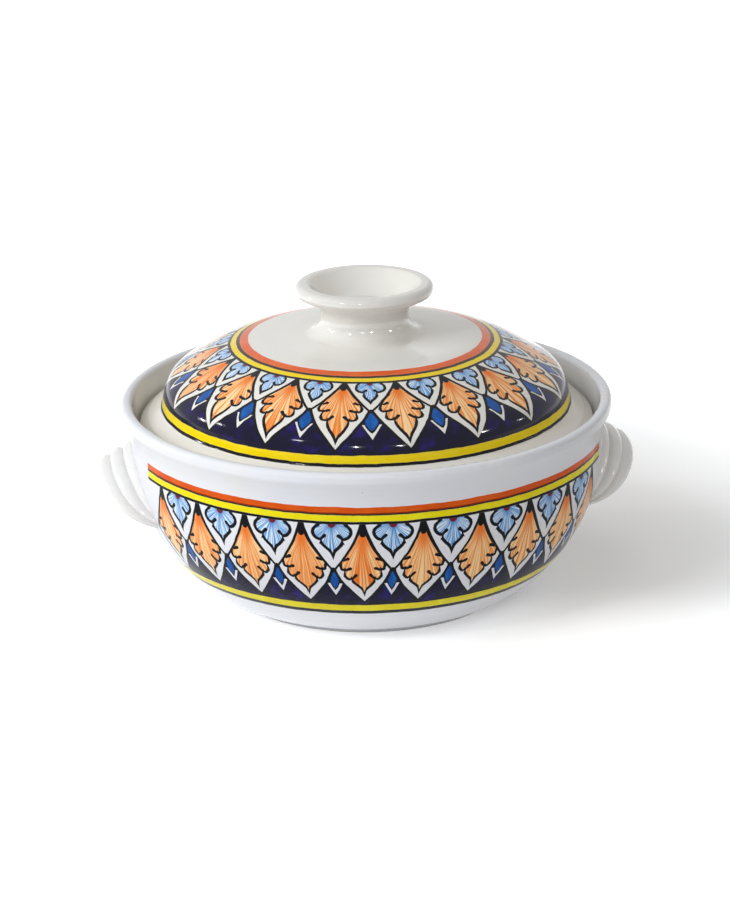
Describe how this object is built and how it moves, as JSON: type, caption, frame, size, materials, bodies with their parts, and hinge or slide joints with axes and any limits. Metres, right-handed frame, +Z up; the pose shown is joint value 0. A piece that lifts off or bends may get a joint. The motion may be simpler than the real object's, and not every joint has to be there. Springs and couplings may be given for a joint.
{
  "type": "lidded stew pot",
  "caption": "Round glazed ceramic stew pot with a flared rim, ridged ear handles and a low domed lid that rests on an inner ledge and lifts off by a dished knob.",
  "frame": {"origin": "centre of the foot ring, on the plane it stands on", "axes": "+X from the pot's axis through the right handle, +Z up along the pot's axis"},
  "size_m": [0.272, 0.2472, 0.1585],
  "materials": {
    "white_glaze": "gloss glaze over a pale clay body, with hand-painted bands"
  },
  "bodies": {
    "pot": {"pot_bowl": "white_glaze", "left_handle": "white_glaze", "right_handle": "white_glaze"},
    "lid": {"lid_dome": "white_glaze", "lid_knob": "white_glaze"}
  },
  "joints": [
    {"name": "lid_lift", "type": "slide", "parent": "pot", "child": "lid", "axis": [0, 0, 1], "range_m": [0, 0.12]}
  ]
}
